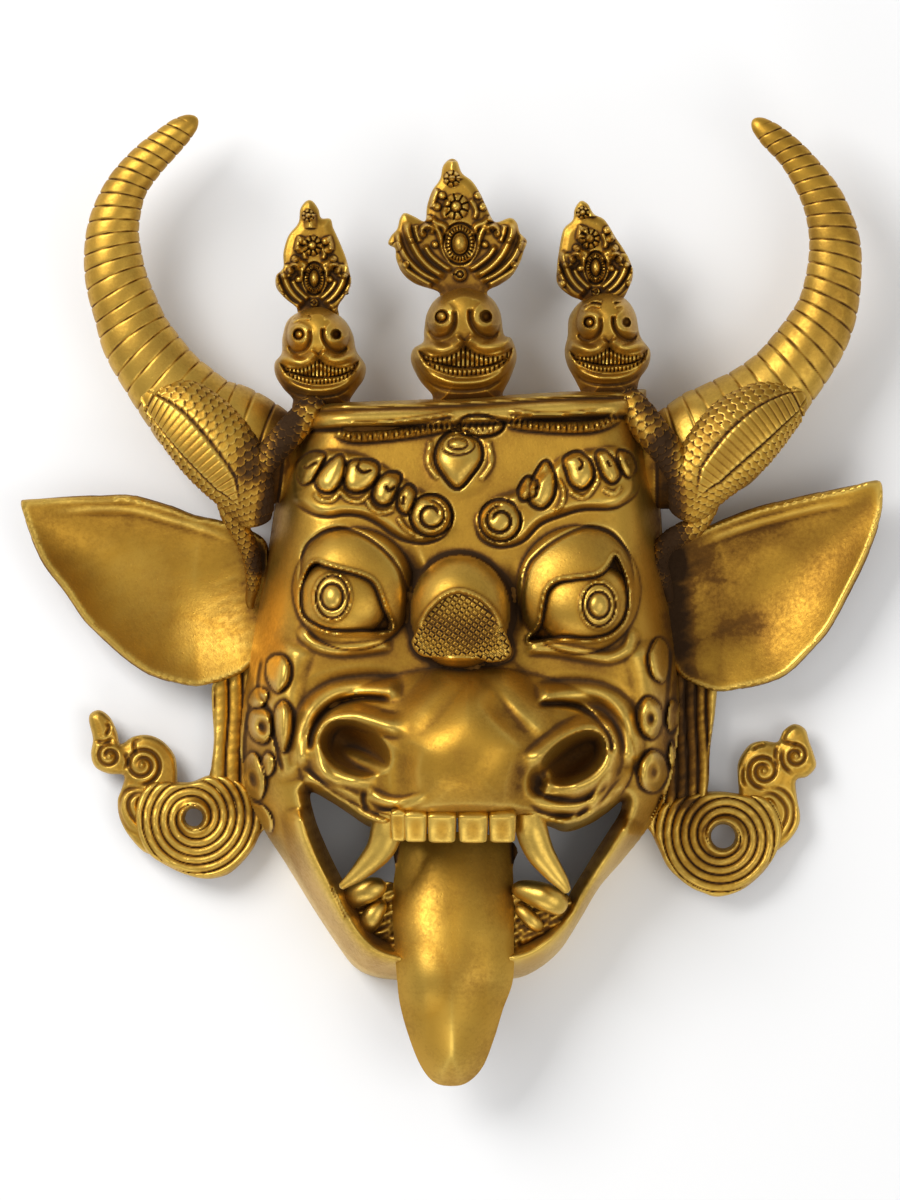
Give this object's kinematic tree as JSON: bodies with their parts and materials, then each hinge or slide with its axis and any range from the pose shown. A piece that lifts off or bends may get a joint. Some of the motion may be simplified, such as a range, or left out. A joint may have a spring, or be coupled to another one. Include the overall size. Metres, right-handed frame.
{
  "type": "wall mask",
  "caption": "Cast brass wall mask: a horned, bull-faced guardian with a skull crown, snakes, broad ears with coiled pendants, open jaws and a hanging tongue.",
  "frame": {"origin": "under the middle of the bounding box, on the plane that the rim lies on", "axes": "the mask lies on its back: +X to the right as one looks at its face, +Y up the face to the horns, +Z out of the face"},
  "size_m": [0.4984, 0.5588, 0.1295],
  "materials": {
    "brass": "antique: dark brown patina in the hollows, satin gold on the high spots"
  },
  "bodies": {
    "root": {"mask": "brass"}
  },
  "joints": []
}
